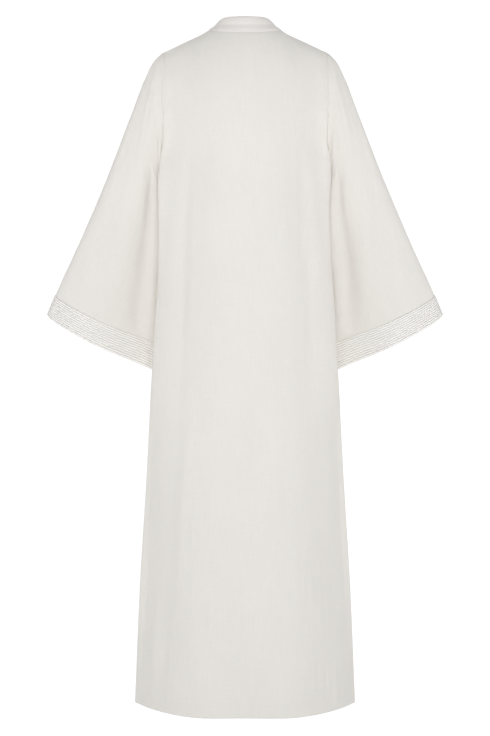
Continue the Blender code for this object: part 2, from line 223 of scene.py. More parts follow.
# Creases. A row gives three places (u, z) that a crease runs through, its width, depth and lean. It is
# deepest about its middle. The width is half the trough's, and a depth below zero sinks in. Lean above zero
# makes the side to the wearer's left wider. A crease is uneven along its length, in a long wave and a short
# one. The units: thousandths of the half width for u, millimetres for z, tenths of a millimetre, and tenths.
CREASE_UNITS = (1000,) * 6 + (10000, 10000, 10)
CREASE_STEPS = 25
CREASE_REACH = 3
CREASE_EDGE = 0.6
CREASE_FADE = 0.7
CREASE_NARROWEST = 0.75
CREASE_SWELL = 0.5
LONG_WAVE = 0.28
LONG_WAVE_TURN = 7.1
LONG_WAVE_SHIFT = 1.7
SHORT_WAVE = 0.14
SHORT_WAVE_TURN = 15.3
BACK_CREASES = (
    # Broad falls: the hollows inside the armholes, and the skirt's flat middle against its sides
    (930, -10, 930, -80, 920, -180, 250, -60, 0), (-930, -10, -930, -85, -920, -175, 250, -60, 0),
    (520, 20, 620, -50, 700, -120, 200, -22, 0), (-520, 20, -620, -50, -700, -110, 200, -22, 0),
    (580, -720, 500, -1160, 300, -1560, 260, 34, 0), (-570, -700, -500, -1150, -310, -1580, 270, 34, 0),
    (880, -760, 860, -1160, 840, -1700, 370, -80, 0), (-880, -780, -865, -1180, -830, -1720, 360, -82, 0),
    # Down from the armholes and shoulder blades
    (870, -80, 880, -150, 860, -240, 90, -13, 2), (-880, -75, -870, -160, -885, -230, 80, -12, -2),
    (780, -60, 770, -150, 740, -260, 140, -16, 1), (-770, -70, -790, -140, -730, -270, 150, -14, -1),
    (395, -90, 380, -230, 388, -380, 60, -6, 3), (-310, -140, -330, -260, -300, -420, 90, -5, -2),
    (100, -160, 80, -330, 110, -520, 160, 6, 0), (-80, -80, -70, -170, -90, -280, 140, 7, 1),
    # Beside the long folds, from the underarm to the waist
    (650, -220, 640, -310, 620, -420, 85, -13, 2), (665, -230, 700, -500, 670, -880, 125, -40, 1),
    (-660, -250, -705, -480, -680, -820, 130, -42, -1), (575, -250, 550, -420, 520, -620, 130, -18, -3),
    (-650, -300, -640, -450, -600, -640, 120, -16, 3), (-520, -230, -560, -380, -540, -520, 100, -11, 1),
    (985, -150, 985, -440, 975, -850, 210, 80, 0), (-985, -145, -985, -450, -975, -830, 210, 80, 0),
    (975, -195, 965, -300, 955, -520, 90, 62, 0), (-975, -195, -965, -295, -955, -500, 90, 62, 0),
    (790, -360, 770, -520, 740, -700, 110, -10, 1), (-780, -420, -740, -560, -730, -760, 120, -12, -1),
    # Skirt
    (560, -700, 550, -860, 590, -1020, 110, 21, 2), (590, -900, 620, -1070, 640, -1240, 120, 19, 0),
    (470, -930, 460, -1010, 450, -1120, 55, -14, 2), (530, -1030, 525, -1120, 510, -1250, 80, -18, 1),
    (310, -1140, 312, -1210, 300, -1300, 60, 13, 0), (250, -1230, 245, -1310, 260, -1410, 65, 13, 1),
    (-490, -640, -480, -850, -450, -1120, 140, 19, -1), (-530, -1060, -520, -1130, -510, -1210, 60, -18, 2),
    (-575, -1130, -565, -1190, -560, -1260, 60, -18, 0), (-325, -1260, -320, -1340, -330, -1420, 70, 14, 0),
    (-715, -1120, -705, -1190, -700, -1270, 60, 13, 1), (-575, -1310, -580, -1345, -570, -1400, 45, -16, 0),
    (-650, -1300, -655, -1350, -660, -1410, 45, -16, 1), (-725, -1330, -730, -1375, -720, -1420, 50, -14, 0),
    (-835, -1320, -830, -1380, -825, -1428, 50, 22, 2), (830, -1180, 850, -1290, 840, -1420, 110, 21, 1),
    (720, -1240, 730, -1330, 735, -1428, 80, -18, 1), (80, -900, 60, -1120, 90, -1360, 170, 13, 1),
    (-130, -760, -150, -980, -120, -1200, 180, 11, -1),
)
FRONT_CREASES = (
    # Broad falls at the armholes and beside the skirt's middle
    (900, -10, 895, -80, 880, -190, 220, -45, 0), (-900, -10, -895, -85, -880, -200, 220, -45, 0),
    (975, -195, 965, -290, 955, -510, 90, 60, 0), (-975, -195, -965, -300, -955, -520, 90, 60, 0),
    (985, -150, 985, -450, 975, -840, 210, 80, 0), (-985, -145, -985, -440, -975, -860, 210, 80, 0),
    (560, -680, 480, -1120, 340, -1600, 280, 32, 0), (-580, -720, -500, -1180, -330, -1560, 270, 32, 0),
    (830, -700, 790, -1100, 680, -1640, 340, -46, 0), (-840, -740, -780, -1060, -670, -1620, 330, -46, 0),
    # From the foot of the V and the sides of the chest
    (20, -345, 60, -480, 50, -700, 110, -27, 1), (-20, -345, -80, -470, -90, -640, 100, -24, -1),
    (520, -120, 500, -220, 430, -340, 120, -26, 1), (-540, -110, -490, -230, -440, -320, 130, -24, -1),
    (900, -150, 860, -250, 780, -360, 100, -31, 2), (-900, -140, -850, -260, -790, -380, 110, -29, -2),
    (930, -250, 800, -310, 640, -350, 80, -22, 0), (-930, -255, -810, -300, -660, -360, 80, -20, 0),
    (640, -330, 620, -480, 580, -680, 120, -26, 2), (-620, -350, -640, -500, -590, -660, 130, -27, -2),
    (300, -400, 310, -620, 290, -860, 150, 19, 1), (-290, -430, -320, -600, -300, -880, 150, 19, -1),
    # Skirt
    (480, -700, 500, -940, 520, -1180, 130, -24, 1), (-470, -740, -490, -960, -530, -1220, 130, -24, -1),
    (160, -820, 180, -1100, 200, -1400, 170, 19, 1), (-130, -780, -160, -1080, -150, -1360, 180, 20, -1),
    (610, -1060, 630, -1240, 640, -1420, 100, -22, 0), (-590, -1020, -600, -1220, -620, -1410, 100, -24, 1),
    (840, -900, 850, -1120, 850, -1380, 120, 24, 1), (-830, -860, -850, -1150, -840, -1420, 120, 24, -1),
    (330, -1180, 340, -1300, 330, -1425, 70, -15, 0), (-350, -1220, -340, -1320, -350, -1425, 70, -15, 1),
)

# Creases of a sleeve, the same but by angle round it from its outer line towards the back, and by thousandths
# of its length. A degree is taken as METRES_PER_DEGREE.
SLEEVE_CREASE_UNITS = (1, 1000) * 3 + (10000, 10000, 10)
METRES_PER_DEGREE = 0.0013
SLEEVE_CREASES = (
    (106, 240, 117, 520, 124, 900, 190, -85, 1), (130, 340, 138, 480, 146, 720, 70, -14, 1),
    (100, 240, 104, 400, 110, 580, 80, 12, 0), (150, -220, 146, 160, 139, 800, 190, 100, 0),
    (108, 0, 112, 90, 120, 220, 130, 16, 0), (45, 300, 72, 520, 98, 740, 160, 24, 1),
    (34, 420, 52, 500, 74, 630, 55, -9, 1), (34, 40, 50, 340, 62, 720, 260, -66, 0),
    (20, 100, 30, 260, 40, 420, 100, -12, 0), (60, 40, 66, 140, 76, 280, 90, -16, 1),
    (100, 830, 104, 870, 106, 905, 60, 10, 0), (122, 800, 124, 860, 126, 905, 60, -12, 0),
    (30, 600, 38, 740, 42, 880, 110, -12, 1), (68, 740, 70, 820, 72, 900, 80, -10, 0),
    (-150, 50, -140, 160, -126, 280, 90, -18, 1), (-60, 50, -72, 200, -80, 360, 100, -16, 1),
    (-104, 240, -112, 480, -118, 760, 120, -24, 1), (-86, 300, -92, 550, -90, 840, 130, 18, 0),
    (-40, 260, -48, 520, -52, 800, 120, -16, 1), (-135, 400, -140, 600, -142, 840, 90, 15, 0),
)

# Seeds of the crinkle. A sleeve has its side, how it is turned from the left one's form, what makes its
# creases differ from the other's, and its seed.
BACK_SEED = 11
FRONT_SEED = 23
SLEEVES = (("left", 1.0, 1.0, 31), ("right", MIRROR, 2.4, 43))
CUFF_SEED_ADDED = 5


def through(table, at):
    """Every column of a table at values of its first column, on smooth curves through its rows."""
    rows = np.array(table, float)
    keys = rows[:, 0]
    slopes = np.gradient(rows, keys, axis=0)
    at = np.asarray(at, float)
    i = np.clip(np.searchsorted(keys, at) - 1, 0, len(keys) - 2)
    span = (keys[i + 1] - keys[i])[..., None]
    f = (at - keys[i])[..., None] / span
    start = (1 + 2 * f) * (1 - f) ** 2 * rows[i] + f * (1 - f) ** 2 * span * slopes[i]
    end = f * f * (3 - 2 * f) * rows[i + 1] + f * f * (f - 1) * span * slopes[i + 1]
    return start + end


def rise(low, high, value):
    """0 below low, 1 above high, and smooth between."""
    f = np.clip((value - low) / (high - low), 0.0, 1.0)
    return f * f * (3 - 2 * f)


def bell(value, width):
    """1 at a value of 0, falling to nothing within about twice such a width."""
    return np.exp(-((value / width) ** 2))


def unit(grid):
    """Vectors of a grid, all one long."""
    return grid / np.maximum(np.linalg.norm(grid, axis=2, keepdims=True), 1e-12)


def wrapped(angle):
    """The same angle between -180 and 180."""
    return (angle + 180) % 360 - 180


def shoulder_z(x):
    """Height of the shoulder seam at a distance x from the middle."""
    return SHOULDER_TIP_Z * (x - NECK_HALF_WIDTH) / (ARMHOLE_X - NECK_HALF_WIDTH)


def top_line(x, is_back):
    """(height, depth) of the line where a panel would end: the shoulder seam, and round the neck its base."""
    drop, depth = (BACK_NECK_DROP, BACK_NECK_DEPTH) if is_back else (FRONT_NECK_DROP, FRONT_NECK_DEPTH)
    inside = 1 - np.minimum(1.0, x / NECK_HALF_WIDTH) ** NECK_POWER
    past = x >= NECK_HALF_WIDTH
    return np.where(past, shoulder_z(x), -drop * inside), np.where(past, 0.0, depth * inside**NECK_ROUNDNESS)


def opened(climb):
    """How far the armhole has opened, from a soft point at the underarm (0) to the shoulder (1)."""
    climb = climb * climb / (climb + ARMHOLE_POINT * (1 - climb))
    return np.sqrt(1 - (1 - climb) ** 3)


def armhole_share(climb):
    """Half width of the armhole at such a height, as a share of its full depth."""
    climb = np.clip(climb, 0.0, 1.0)
    return opened(climb) * np.sqrt(1 - climb**SHOULDER_ROUNDING)


def body_fold(u, z):
    """How far the long folds move the cloth outwards at places on a panel."""
    moved = 0.0
    down = np.clip((UNDERARM_Z - z) / (UNDERARM_Z - HEM_Z), 0.0, 1.0)
    for at_top, at_hem, width, depth, top_z in BODY_FOLDS:
        at = at_top + (at_hem - at_top) * down
        moved = moved + depth * rise(-top_z, -top_z + FOLD_FADE, -z) * bell(np.abs(u) - at, width)
    return moved * (1 - np.abs(u) ** FOLD_SIDE_POWER)


def body_points(u, z, is_back):
    """Points on the outside of the front or back, u from -1 at one side to 1 at the other, at heights z."""
    _, half_width, back_depth, front_depth, power = np.moveaxis(through(BODY_SECTIONS, z), -1, 0)
    x = u * half_width
    depth = (back_depth if is_back else front_depth) * (1 - np.abs(u) ** power) + body_fold(u, z)
    top_z, top_depth = top_line(np.abs(x), is_back)
    climb = np.clip((z - UNDERARM_Z) / (top_z - UNDERARM_Z), 0.0, 1.0)
    draw = ARMHOLE_DRAW + ARMHOLE_DRAW_AT_UNDERARM * (1 - climb) ** ARMHOLE_DRAW_FADE
    yoke = depth + ARMHOLE_DEPTH * opened(climb) * np.abs(u) ** draw
    near_neck = np.maximum(0.0, 1 - (x / NECK_HALF_WIDTH) ** 2)
    rounding = (1 - climb**SHOULDER_ROUNDING) ** (TOP_POWER + TOP_POWER_ADDED_AT_NECK * near_neck)
    yoke = top_depth + (yoke - top_depth) * rounding
    depth = np.maximum(np.where(z > UNDERARM_Z, yoke, depth), 0.0)
    return np.stack([x, depth if is_back else -depth, z], axis=-1)


def sleeve_points(way, angle):
    """Points on the outside of the wearer's left sleeve. Angle 0 is its outer line, 180 the underarm line."""
    section = through(SLEEVE_SECTIONS, way)
    outer, inner, half_depth, drop = section[..., 1:4], section[..., 4:7], section[..., 7], section[..., 8]
    a = np.radians(angle)
    across = (1 + np.cos(a)) / 2
    depth = half_depth * np.sin(a) * (1 + SLEEVE_TAPER * np.cos(a))
    blend = rise(0.0, ROUND_FROM, way)
    depth = (1 - blend) * np.sign(np.sin(a)) * ARMHOLE_DEPTH * armhole_share(across) + blend * depth
    for at_top, at_cuff, width, height, starts, full in SLEEVE_FOLDS:
        at = at_top + (at_cuff - at_top) * way
        side = np.sign(np.sin(np.radians(at)))
        depth = depth + side * height * rise(starts, full, way) * bell(wrapped(angle - at), width)
    point = inner + (outer - inner) * across[..., None]
    return point + np.stack([0 * depth, depth, -drop * depth], axis=-1)


def body_metres(u, z):
    """A place on a panel, in metres across and up."""
    return u * through(BODY_SECTIONS, z)[..., 1], z


def sleeve_metres(angle, way):
    """A place on a sleeve, in metres round and along it."""
    return angle * METRES_PER_DEGREE, way * SLEEVE_LENGTH


def creased(rows, units, to_metres, places, wobble):
    """How far creases move the cloth outwards at such places.

    Across a crease its height goes from 1 in the middle to a little below 0 beside it.
    """
    across, down = to_metres(*places)
    moved = np.zeros(across.shape)
    t = np.linspace(0.0, 1.0, CREASE_STEPS)[:, None]
    for number, row in enumerate(np.array(rows) / units):
        first, middle, last = (np.array(to_metres(*row[i : i + 2])) for i in (0, 2, 4))
        width, depth, lean = row[6:]
        bend = middle * 2 - (first + last) / 2
        line = (1 - t) ** 2 * first + 2 * t * (1 - t) * bend + t * t * last
        reach = CREASE_REACH * width
        low, high = line.min(axis=0) - reach, line.max(axis=0) + reach
        near = (across > low[0]) & (across < high[0]) & (down > low[1]) & (down < high[1])
        if not near.any():
            continue
        p = np.stack([across[near], down[near]], axis=-1)
        best = np.full(len(p), np.inf)
        side, at = np.zeros(len(p)), np.zeros(len(p))
        for k, (a, b) in enumerate(zip(line, line[1:])):
            d = b - a
            f = np.clip((p - a) @ d / (d @ d), 0.0, 1.0)
            apart = p - (a + f[:, None] * d)
            far = np.hypot(apart[:, 0], apart[:, 1])
            closer = far < best
            best[closer] = far[closer]
            side[closer] = np.sign(apart[closer, 0])
            at[closer] = (k + f[closer]) / (len(line) - 1)
        long = LONG_WAVE * np.sin(LONG_WAVE_TURN * at + number * LONG_WAVE_SHIFT + wobble)
        short = SHORT_WAVE * np.sin(SHORT_WAVE_TURN * at + number)
        along = (4 * at * (1 - at)) ** CREASE_FADE * (1 + long + short)
        q = best / (width * (1 + lean * side) * (CREASE_NARROWEST + CREASE_SWELL * along))
        moved[near] += depth * along * ((1 - CREASE_EDGE * q * q) * np.exp(-q * q))
    return moved


def soft_noise(x, y, seed):
    """Smooth noise from -1 to 1, with one cell to each unit of x and y."""
    grid = np.random.default_rng(seed).uniform(-1, 1, (NOISE_CELLS, NOISE_CELLS))
    i, j = np.floor(x).astype(int), np.floor(y).astype(int)
    f, g = rise(0, 1, x - i), rise(0, 1, y - j)
    i, j, next_i, next_j = (k % NOISE_CELLS for k in (i, j, i + 1, j + 1))
    low = grid[i, j] * (1 - f) + grid[next_i, j] * f
    high = grid[i, next_j] * (1 - f) + grid[next_i, next_j] * f
    return low * (1 - g) + high * g


def crinkle(across, down, seed):
    """The raised crinkle of the cloth itself: short upright ridges, crossed by shorter ones, in patches."""
    upright, crossed, broad, patch = (
        soft_noise(across / wide, down / tall, seed + k) for k, (wide, tall) in enumerate(CRINKLE_CELLS)
    )
    ridges = UPRIGHT_HEIGHT * (1 - 2 * np.abs(upright)) + CROSSED_HEIGHT * (1 - 2 * np.abs(crossed))
    return (PATCH_LEVEL + PATCH_SPREAD * patch) * ridges + BROAD_HEIGHT * broad


def outwards(grid, closed):
    """Unit normals of a grid, away from the middle of its rows. A closed grid goes round in its rows."""
    if closed:
        along = np.roll(grid, -1, axis=1) - np.roll(grid, 1, axis=1)
        middle = grid.mean(axis=1, keepdims=True)
    else:
        along = np.gradient(grid, axis=1)
        middle = grid.reshape(-1, 3).mean(axis=0) * np.array((1.0, 0.0, 1.0))
    n = unit(np.cross(along, np.gradient(grid, axis=0)))
    return n if ((grid - middle) * n).sum() > 0 else -n


def even_steps(values):
    """Adds a value in the widest gaps until the number of steps divides by INSIDE_STEP."""
    while (len(values) - 1) % INSIDE_STEP:
        k = int(np.argmax(np.diff(values)))
        values = np.insert(values, k + 1, (values[k] + values[k + 1]) / 2)
    return values


def lengths_along(points, axis):
    """Distance along a grid's lines from their first points."""
    steps = np.linalg.norm(np.diff(points, axis=axis), axis=-1)
    zero = np.zeros_like(np.take(steps, [0], axis=axis))
    return np.concatenate([zero, np.cumsum(steps, axis=axis)], axis=axis)


def squares(grid):
    """Faces between a grid's neighbouring points."""
    return np.stack([grid[:-1, :-1], grid[:-1, 1:], grid[1:, 1:], grid[1:, :-1]], axis=-1).reshape(-1, 4)


def placed(name, data):
    """A new object of such data, in the scene."""
    made = bpy.data.objects.new(name, data)
    bpy.context.scene.collection.objects.link(made)
    return made


def ring(grid):
    """A grid that goes round, with its first column once more as its last."""
    return np.concatenate([grid, grid[:, :1]], axis=1)


def numbered(grid, closed=False):
    """Numbers of a grid's points. Where it is closed, those of its first column come again as its last."""
    numbers = np.arange(grid.shape[0] * grid.shape[1]).reshape(grid.shape[:2])
    return ring(numbers) if closed else numbers


def cloth_wall(name, outer, inner, closed, across, down, material, row_step=INSIDE_STEP):
    """A closed wall between a fine outer grid and a coarser inner one, mapped by the cloth's own places.

    Faces are numbered by their places on the map first. The inside's last column has the first ring's girth.
    """
    place = np.stack([across, down], axis=-1)
    inner_place = place[::row_step, ::INSIDE_STEP].copy()
    if closed:
        inner_place[:, -1, 0] = across[0, -1]
    outside = numbered(place)
    inside = outside.size + numbered(inner_place)
    faces = squares(outside).tolist() + squares(inside)[:, ::-1].tolist()
    for end, turn in ((0, 1), (-1, -1)):
        for k in range(inside.shape[1] - 1):
            edge = outside[end, k * INSIDE_STEP : (k + 1) * INSIDE_STEP + 1]
            faces.append([*inside[end, k : k + 2], *edge[::-1]][::turn])
        if not closed:
            for k in range(len(inside) - 1):
                edge = outside[k * row_step : (k + 1) * row_step + 1, end]
                faces.append([*inside[k : k + 2, end], *edge[::-1]][:: -turn])
    points = np.concatenate([outer.reshape(-1, 3), inner.reshape(-1, 3)])
    inner_points = outer.size // 3 + numbered(inner, closed)
    point = np.concatenate([numbered(outer, closed).ravel(), inner_points.ravel()])
    mesh = bpy.data.meshes.new(name)
    mesh.from_pydata(points.tolist(), [], [point[face].tolist() for face in faces])
    spots = np.concatenate([place.reshape(-1, 2), inner_place.reshape(-1, 2)])[np.concatenate(faces)]
    layer = mesh.uv_layers.new(name="cloth")
    layer.uv.foreach_set("vector", spots.astype(np.float32).ravel())
    mesh.materials.append(material)
    mesh.shade_smooth()
    return placed(name, mesh)


def sunk_edges(distance):
    """How far the outside sinks within a seam's roll, by distance from the seam."""
    return SEAM_SINK * bell(distance, SEAM_ROLL)


# Body panels
def neck_shares(count, power):
    """Columns from the middle to the neck point, closer together near the neck point as power grows."""
    k = np.arange(count + 1) / count
    return (1 - (1 - k) ** power) * NECK_HALF_WIDTH / ARMHOLE_X


def both_sides(half):
    """Columns of one half, mirrored to the other."""
    return np.concatenate([-half[:0:-1], half])


def fine_columns():
    """Columns of a panel from side to side, close together at the side seams."""
    neck = neck_shares(NECK_POINTS, 1.0)
    k = np.arange(1, SHOULDER_POINTS + 1) / SHOULDER_POINTS
    outside = neck[-1] + (1 - neck[-1]) * (1 - (1 - k) ** SIDE_CROWDING)
    near = 1 - np.array(EDGE_STEPS) / PANEL_HALF_WIDTH
    outside = np.sort(np.concatenate([outside, near]))
    return both_sides(even_steps(np.concatenate([neck, outside])))


def yoke_climbs(count):
    """Rows from the underarm (0) to the shoulder (1), closer at both ends."""
    return (1 - np.cos(np.pi * np.arange(count + 1) / count)) / 2


def v_edge_z(x):
    """Height of the front's top edge: the V inside the neck points, and the shoulder seam outside them."""
    return np.where(x < NECK_HALF_WIDTH, -V_DROP * (1 - x / NECK_HALF_WIDTH), shoulder_z(x))


def front_climbs(count, below):
    """Rows of the front above FRONT_SPLIT_Z, with one that ends at the underarms."""
    share = (UNDERARM_Z - FRONT_SPLIT_Z) / (SHOULDER_TIP_Z - FRONT_SPLIT_Z)
    lower = np.arange(below) / below * share
    return np.concatenate([lower, share + (1 - share) * yoke_climbs(count)])


def panel_places(columns, is_back, skirt, yoke, below):
    """Places (u, z) of a panel's points, in rows that are level at first and then run up to its top edge.

    More rows lie close to the hem, where the cloth's edge rolls in.
    """
    x = np.abs(columns) * ARMHOLE_X
    if is_back:
        low_z, count, edge, climbs = UNDERARM_Z, skirt, top_line(x, True)[0], yoke_climbs(yoke)
    else:
        low_z, count, edge, climbs = FRONT_SPLIT_Z, skirt - below, v_edge_z(x), front_climbs(yoke, below)
    level = np.sort(np.concatenate([HEM_Z + np.array(EDGE_STEPS), np.linspace(HEM_Z, low_z, count + 1)[:-1]]))
    level = np.repeat(level[:, None], len(columns), axis=1)
    z = np.concatenate([level, low_z + (edge[None] - low_z) * climbs[:, None]])
    return np.broadcast_to(columns, z.shape), z


def smooth_yoke(form, z):
    """Softens the bend that runs down a panel from each neck point. The panel's edges stay where they are."""
    up = lengths_along(form, 0)
    share = rise(*YOKE_HEIGHTS, z) * rise(*YOKE_BY_TOP, up[-1:] - up)
    depth = form[:, :, 1]
    for _ in range(YOKE_PASSES):
        even = (depth[:, :-2] + 2 * depth[:, 1:-1] + depth[:, 2:]) / 4
        depth[:, 1:-1] += (even - depth[:, 1:-1]) * share[:, 1:-1]


def levelled(form, out, z):
    """Turns a panel's normals level by the underarms, where the armhole's lower edge makes a small ledge."""
    along = np.gradient(form, axis=1)
    level = unit(np.stack([along[:, :, 1], -along[:, :, 0], 0 * z], axis=-1))
    level *= np.sign((level[:, :, 1] * form[:, :, 1]).sum())
    share = bell(z - UNDERARM_Z, LEDGE_REACH)[..., None]
    return unit(out * (1 - share) + level * share)


def body_shell(name, is_back, creases, seed, material):
    """The cloth of the front or back."""
    u, z = panel_places(fine_columns(), is_back, *PANEL_POINTS)
    if (len(z) - 1) % INSIDE_STEP:
        u, z = u[1:], np.concatenate([z[:1], z[2:]])
    form = body_points(u, z, is_back)
    smooth_yoke(form, z)
    out = levelled(form, outwards(form, False), z)
    across = lengths_along(form[:, :, :2], 1)
    across -= across[:, across.shape[1] // 2][:, None]
    side, to_hem = lengths_along(form, 1), lengths_along(form, 0)
    to_side, to_top = np.minimum(side, side[:, -1:] - side), to_hem[-1:] - to_hem
    calm = rise(*CRINKLE_BY_SEAM, to_side) * rise(*CRINKLE_BY_TOP, to_top) * rise(*CRINKLE_BY_HEM, to_hem)
    folded = creased(creases, CREASE_UNITS, body_metres, (u, z), 0.0) * rise(*CREASES_BY_SIDE, 1 - np.abs(u))
    moved = folded * rise(*CREASES_BY_TOP, to_top) + crinkle(across, z, seed) * calm
    at_shoulder = rise(*ROLL_BY_NECK, np.abs(form[:, :, 0]))
    at_armhole = rise(*ROLL_BY_UNDERARM, np.abs(z - ROLL_GAP_Z)) + ARMHOLE_ROLL * rise(*ROLL_UP_ARMHOLE, z)
    moved = moved - sunk_edges(to_side) * at_armhole - sunk_edges(to_top) * at_shoulder
    moved = moved - HEM_ROLL * sunk_edges(to_hem)
    outer = form + out * moved[..., None]
    thick = np.where(to_hem < HEM_DEEP, HEM_CLOTH, CLOTH)
    inner = form + out * (np.minimum(moved, folded) - thick)[..., None]
    inner = inner[::INSIDE_STEP, ::INSIDE_STEP].copy()
    sign = 1 if is_back else -1
    inner[:, :, 1] = sign * np.maximum(sign * inner[:, :, 1], 0.0)
    above = z[::INSIDE_STEP, ::INSIDE_STEP] >= UNDERARM_Z - 1e-6
    inner[:, :, 0] = np.where(above, np.clip(inner[:, :, 0], -ARMHOLE_X, ARMHOLE_X), inner[:, :, 0])
    if is_back:
        outer, inner, across = (part[:, ::-1] for part in (outer, inner, across))
    return cloth_wall(name, outer, inner, False, across, z, material), form


# Sleeves and cuffs
def cuff_direction():
    """Unit vector down the sleeve, from the cuff's seam to its edge."""
    angles = np.arange(0.0, 360.0, MEAN_RING_STEP)
    seam, edge = (sleeve_points(np.full(len(angles), way), angles).mean(axis=0) for way in (CUFF_FROM, 1.0))
    return (edge - seam) / np.linalg.norm(edge - seam)


def sleeve_form(ways):
    """Grid of points round the wearer's left sleeve, with the angles and ways of its points.

    The sleeve's back turns in more quickly by the body, next to the cuff.
    """
    angles = 180 + np.arange(RING_POINTS) * 360.0 / RING_POINTS
    way, angle = np.meshgrid(ways, angles, indexing="ij")
    form = sleeve_points(way, angle)
    angle = wrapped(angle)
    apart = wrapped(angle - TURN_IN_ANGLE)
    form[:, :, 1] -= TURN_IN * rise(TURN_IN_FROM, 1.0, way) * bell(apart, TURN_IN_WIDTH)
    return form, way, angle


def round_lengths(form):
    """Distance round each ring from the underarm line, with the full girth as one more column."""
    return lengths_along(ring(form), 1)


def sleeve_shell(name, turned, wobble, seed, material):
    """The cloth of a sleeve from the armhole to the cuff's seam."""
    near = np.array(EDGE_STEPS) / SLEEVE_LENGTH
    ways = np.sort(np.concatenate([near, np.linspace(0.0, CUFF_FROM, SLEEVE_POINTS + 1), CUFF_FROM - near]))
    form, way, angle = sleeve_form(even_steps(ways))
    down = cuff_direction()
    form[0, :, 0] = ARMHOLE_X - SLEEVE_LAP
    out = outwards(form, True)
    girth = round_lengths(form)
    per_degree = girth[:, -1:] / 360
    to_armhole = lengths_along(form, 0)
    to_cuff = to_armhole[-1:] - to_armhole
    to_underarm = np.minimum(girth[:, :-1], girth[:, -1:] - girth[:, :-1])
    folded = creased(SLEEVE_CREASES, SLEEVE_CREASE_UNITS, sleeve_metres, (angle, way), wobble)
    folded = folded * rise(*CREASES_BY_ARMHOLE, to_armhole) * rise(*CREASES_BY_CUFF, to_cuff)
    calm = rise(*CRINKLE_BY_SEAM, to_armhole) * rise(*CRINKLE_BY_SEAM, to_cuff)
    moved = folded + crinkle(angle * per_degree, way * SLEEVE_LENGTH, seed) * calm
    rolled = rise(*SLEEVE_ROLL_BY_UNDERARM, 180 - np.abs(angle))
    moved = moved - sunk_edges(to_armhole) * rolled - sunk_edges(to_cuff)
    moved = moved - UNDER_SEAM_ROLL * sunk_edges(to_underarm) * rise(*UNDER_SEAM_BY_ARMHOLE, to_armhole)
    outer = form + out * moved[..., None]
    inner = form + out * (np.minimum(moved, folded) - CLOTH)[..., None]
    inner[:, :, 0] = np.maximum(inner[:, :, 0], ARMHOLE_X - SLEEVE_LAP)
    inner[-1] += down * ((form[-1] - inner[-1]) @ down)[:, None]
    inner = inner[::INSIDE_STEP, ::INSIDE_STEP]
    return cloth_wall(name, outer * turned, inner * turned, True, girth, -ring(to_armhole), material), form


def cuff_shell(name, turned, seed, material):
    """The band of tucks at a sleeve's end, and its plain inside."""
    tuck = np.array(TUCK_PROFILE)
    shares = np.concatenate([(k + tuck[:, 0]) / TUCKS for k in range(TUCKS)] + [[1.0]])
    form, _, angle = sleeve_form(CUFF_FROM + (1 - CUFF_FROM) * shares)
    down = cuff_direction()
    out = outwards(form, True)
    out = unit(out - (out @ down)[:, :, None] * down)
    raised = np.concatenate([np.tile(tuck[:, 1], TUCKS), [0.0]])
    girth = round_lengths(form)
    bumps = soft_noise(angle / TUCK_UNEVEN_ANGLE, shares[:, None] * TUCKS + 0 * angle, seed)
    height = TUCK_RAISE * raised[:, None] * (1 + TUCK_UNEVEN * bumps)
    outer = form + out * height[..., None]
    inner = (form - out * CUFF_CLOTH)[:: len(tuck), ::INSIDE_STEP]
    distance = np.repeat((shares * CUFF_WIDTH)[:, None], girth.shape[1], axis=1)
    return cloth_wall(name, outer * turned, inner * turned, True, girth, -distance, material, len(tuck)), form


# Neckband
def coarse_neck_line():
    """Points of the neckline from the foot of the V to the middle back, and the wall's normals there."""
    halves = []
    for is_back, count, power in ((False, COARSE_FRONT_NECK, COARSE_SPACING), (True, COARSE_BACK_NECK, 1.0)):
        neck = neck_shares(count, power)
        outside = np.linspace(neck[-1], 1.0, COARSE_SHOULDER + 1)[1:]
        columns = both_sides(np.concatenate([neck, outside]))
        u, z = panel_places(columns, is_back, *COARSE_POINTS)
        grid = body_points(u, z, is_back)
        n = outwards(grid, False)
        for _ in range(COARSE_PASSES):
            n[:, 1:-1] = (n[:, :-2] + 2 * n[:, 1:-1] + n[:, 2:]) / 4
        n = unit(n)
        middle = len(columns) // 2
        halves.append([part[-1, middle : middle + count + 1] for part in (grid, n)])
    joined = ([*front[:-1], (front[-1] + back[-1]) / 2, *back[-2::-1]] for front, back in zip(*halves))
    return [np.array(points) for points in joined]


def band_edge(line, wall_normals):
    """Upper edge of the neckband over each point of the neckline, on an oval round the back of the neck."""
    neck_point = COARSE_FRONT_NECK
    way = lengths_along(line, 0)
    way = way - way[neck_point]
    edge = []
    for i, point in enumerate(line):
        turn = np.radians(90) * max(0.0, way[i] / way[-1])
        x, y = NECKBAND_TOP_HALF_WIDTH * np.cos(turn), NECKBAND_TOP_DEPTH * np.sin(turn)
        direction = np.array((x, y, NECKBAND_TOP_Z)) - line[max(i, neck_point)]
        direction /= np.linalg.norm(direction)
        if i < neck_point:
            tangent = line[i + 1] - line[max(i - 1, 0)]
            level = np.cross(wall_normals[i], tangent)
            level *= -np.sign(level[0]) / np.linalg.norm(level)
            direction = direction + (level - direction) * rise(0.0, NECKBAND_FLAT_AFTER, -way[i])
            direction /= np.linalg.norm(direction)
        edge.append(point + direction * NECKBAND_WIDTH)
    return np.array(edge)


def cut_at_middle(line):
    """Respaces the V part of a line so that it starts on the plane between left and right."""
    count = COARSE_FRONT_NECK
    k = max(1, int(np.argmax(line[:, 0] > 0)))
    start = k - line[k, 0] / (line[k, 0] - line[k - 1, 0])
    at = start + (count - start) * np.arange(count + 1) / count
    low = np.clip(at.astype(int), 0, count - 1)
    part = (at - low)[:, None]
    return np.concatenate([line[low] * (1 - part) + line[low + 1] * part, line[count + 1 :]])


